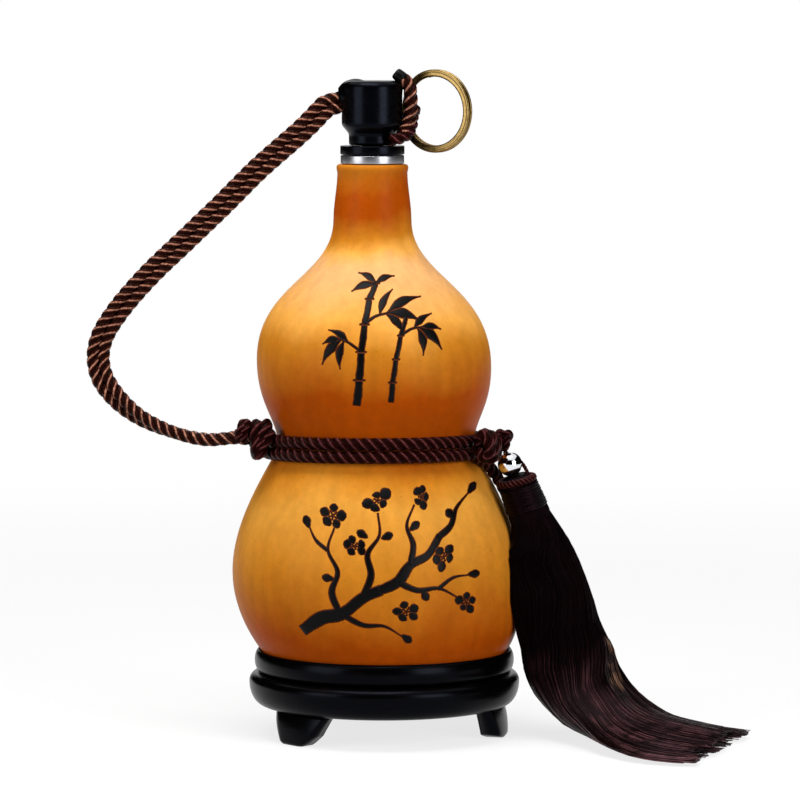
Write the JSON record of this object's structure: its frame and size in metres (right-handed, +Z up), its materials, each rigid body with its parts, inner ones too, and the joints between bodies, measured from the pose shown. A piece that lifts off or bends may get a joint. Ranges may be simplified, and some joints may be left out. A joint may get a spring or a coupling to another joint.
{
  "type": "wine gourd",
  "caption": "Dried bottle gourd flask with a stoppered neck, a twisted lanyard, a bound waist and a tassel, standing on a low three-legged wooden stand.",
  "frame": {"origin": "on the table, below the middle of the belly", "axes": "+Z up; -Y is the carved front; +X is the side that the tassel hangs on"},
  "size_m": [0.2764, 0.1404, 0.2812],
  "materials": {
    "gourd_skin": "satin varnish over a dried gourd rind",
    "lacquered_wood": "black lacquer, gloss",
    "black_gloss": "gloss",
    "polished_steel": "turned and polished",
    "silicone": "matte",
    "cord_fibre": "twisted satin cord",
    "sealed_end": "melted and pressed",
    "aged_brass": "aged, softly polished",
    "chrome": "mirror",
    "tassel_fibre": "fine satin thread"
  },
  "bodies": {
    "stand": {"stand_ring": "lacquered_wood", "stand_base": "lacquered_wood", "stand_leg_1": "lacquered_wood", "stand_leg_2": "lacquered_wood", "stand_leg_3": "lacquered_wood"},
    "gourd": {"gourd_shell": "gourd_skin", "mouth_collar": "polished_steel", "waist_binding": "cord_fibre", "knot_left": "cord_fibre", "knot_right": "cord_fibre", "end_knot": "cord_fibre", "strap_cord_outer": "cord_fibre", "strap_cord_inner": "cord_fibre"},
    "stopper": {"stopper_knob": "black_gloss", "stopper_flange": "black_gloss", "stopper_plug": "black_gloss", "plug_seal_1": "silicone", "plug_seal_2": "silicone", "ring_hitch_cord": "cord_fibre", "cord_tail": "cord_fibre", "cord_tip": "sealed_end"},
    "ring": {"split_ring": "aged_brass"},
    "tassel": {"tassel_cord": "tassel_fibre", "tassel_bead": "chrome", "tassel_head": "tassel_fibre", "tassel_skirt": "tassel_fibre"}
  },
  "joints": [
    {"name": "gourd_lift", "type": "slide", "parent": "stand", "child": "gourd", "axis": [0, 0, 1], "range_m": [0, 0.04]},
    {"name": "stopper_lift", "type": "slide", "parent": "gourd", "child": "stopper", "axis": [0, 0, 1], "range_m": [0, 0.04]},
    {"name": "ring_swing", "type": "hinge", "parent": "stopper", "child": "ring", "pos_m": [0.0119, 0.0098, 0.2612], "axis": [0, 0, 1], "range_deg": [0, 50]},
    {"name": "tassel_swing", "type": "hinge", "parent": "gourd", "child": "tassel", "pos_m": [0.0536, -0.0166, 0.1205], "axis": [-0.2577, -0.9662, 0], "range_deg": [0, 45]}
  ]
}
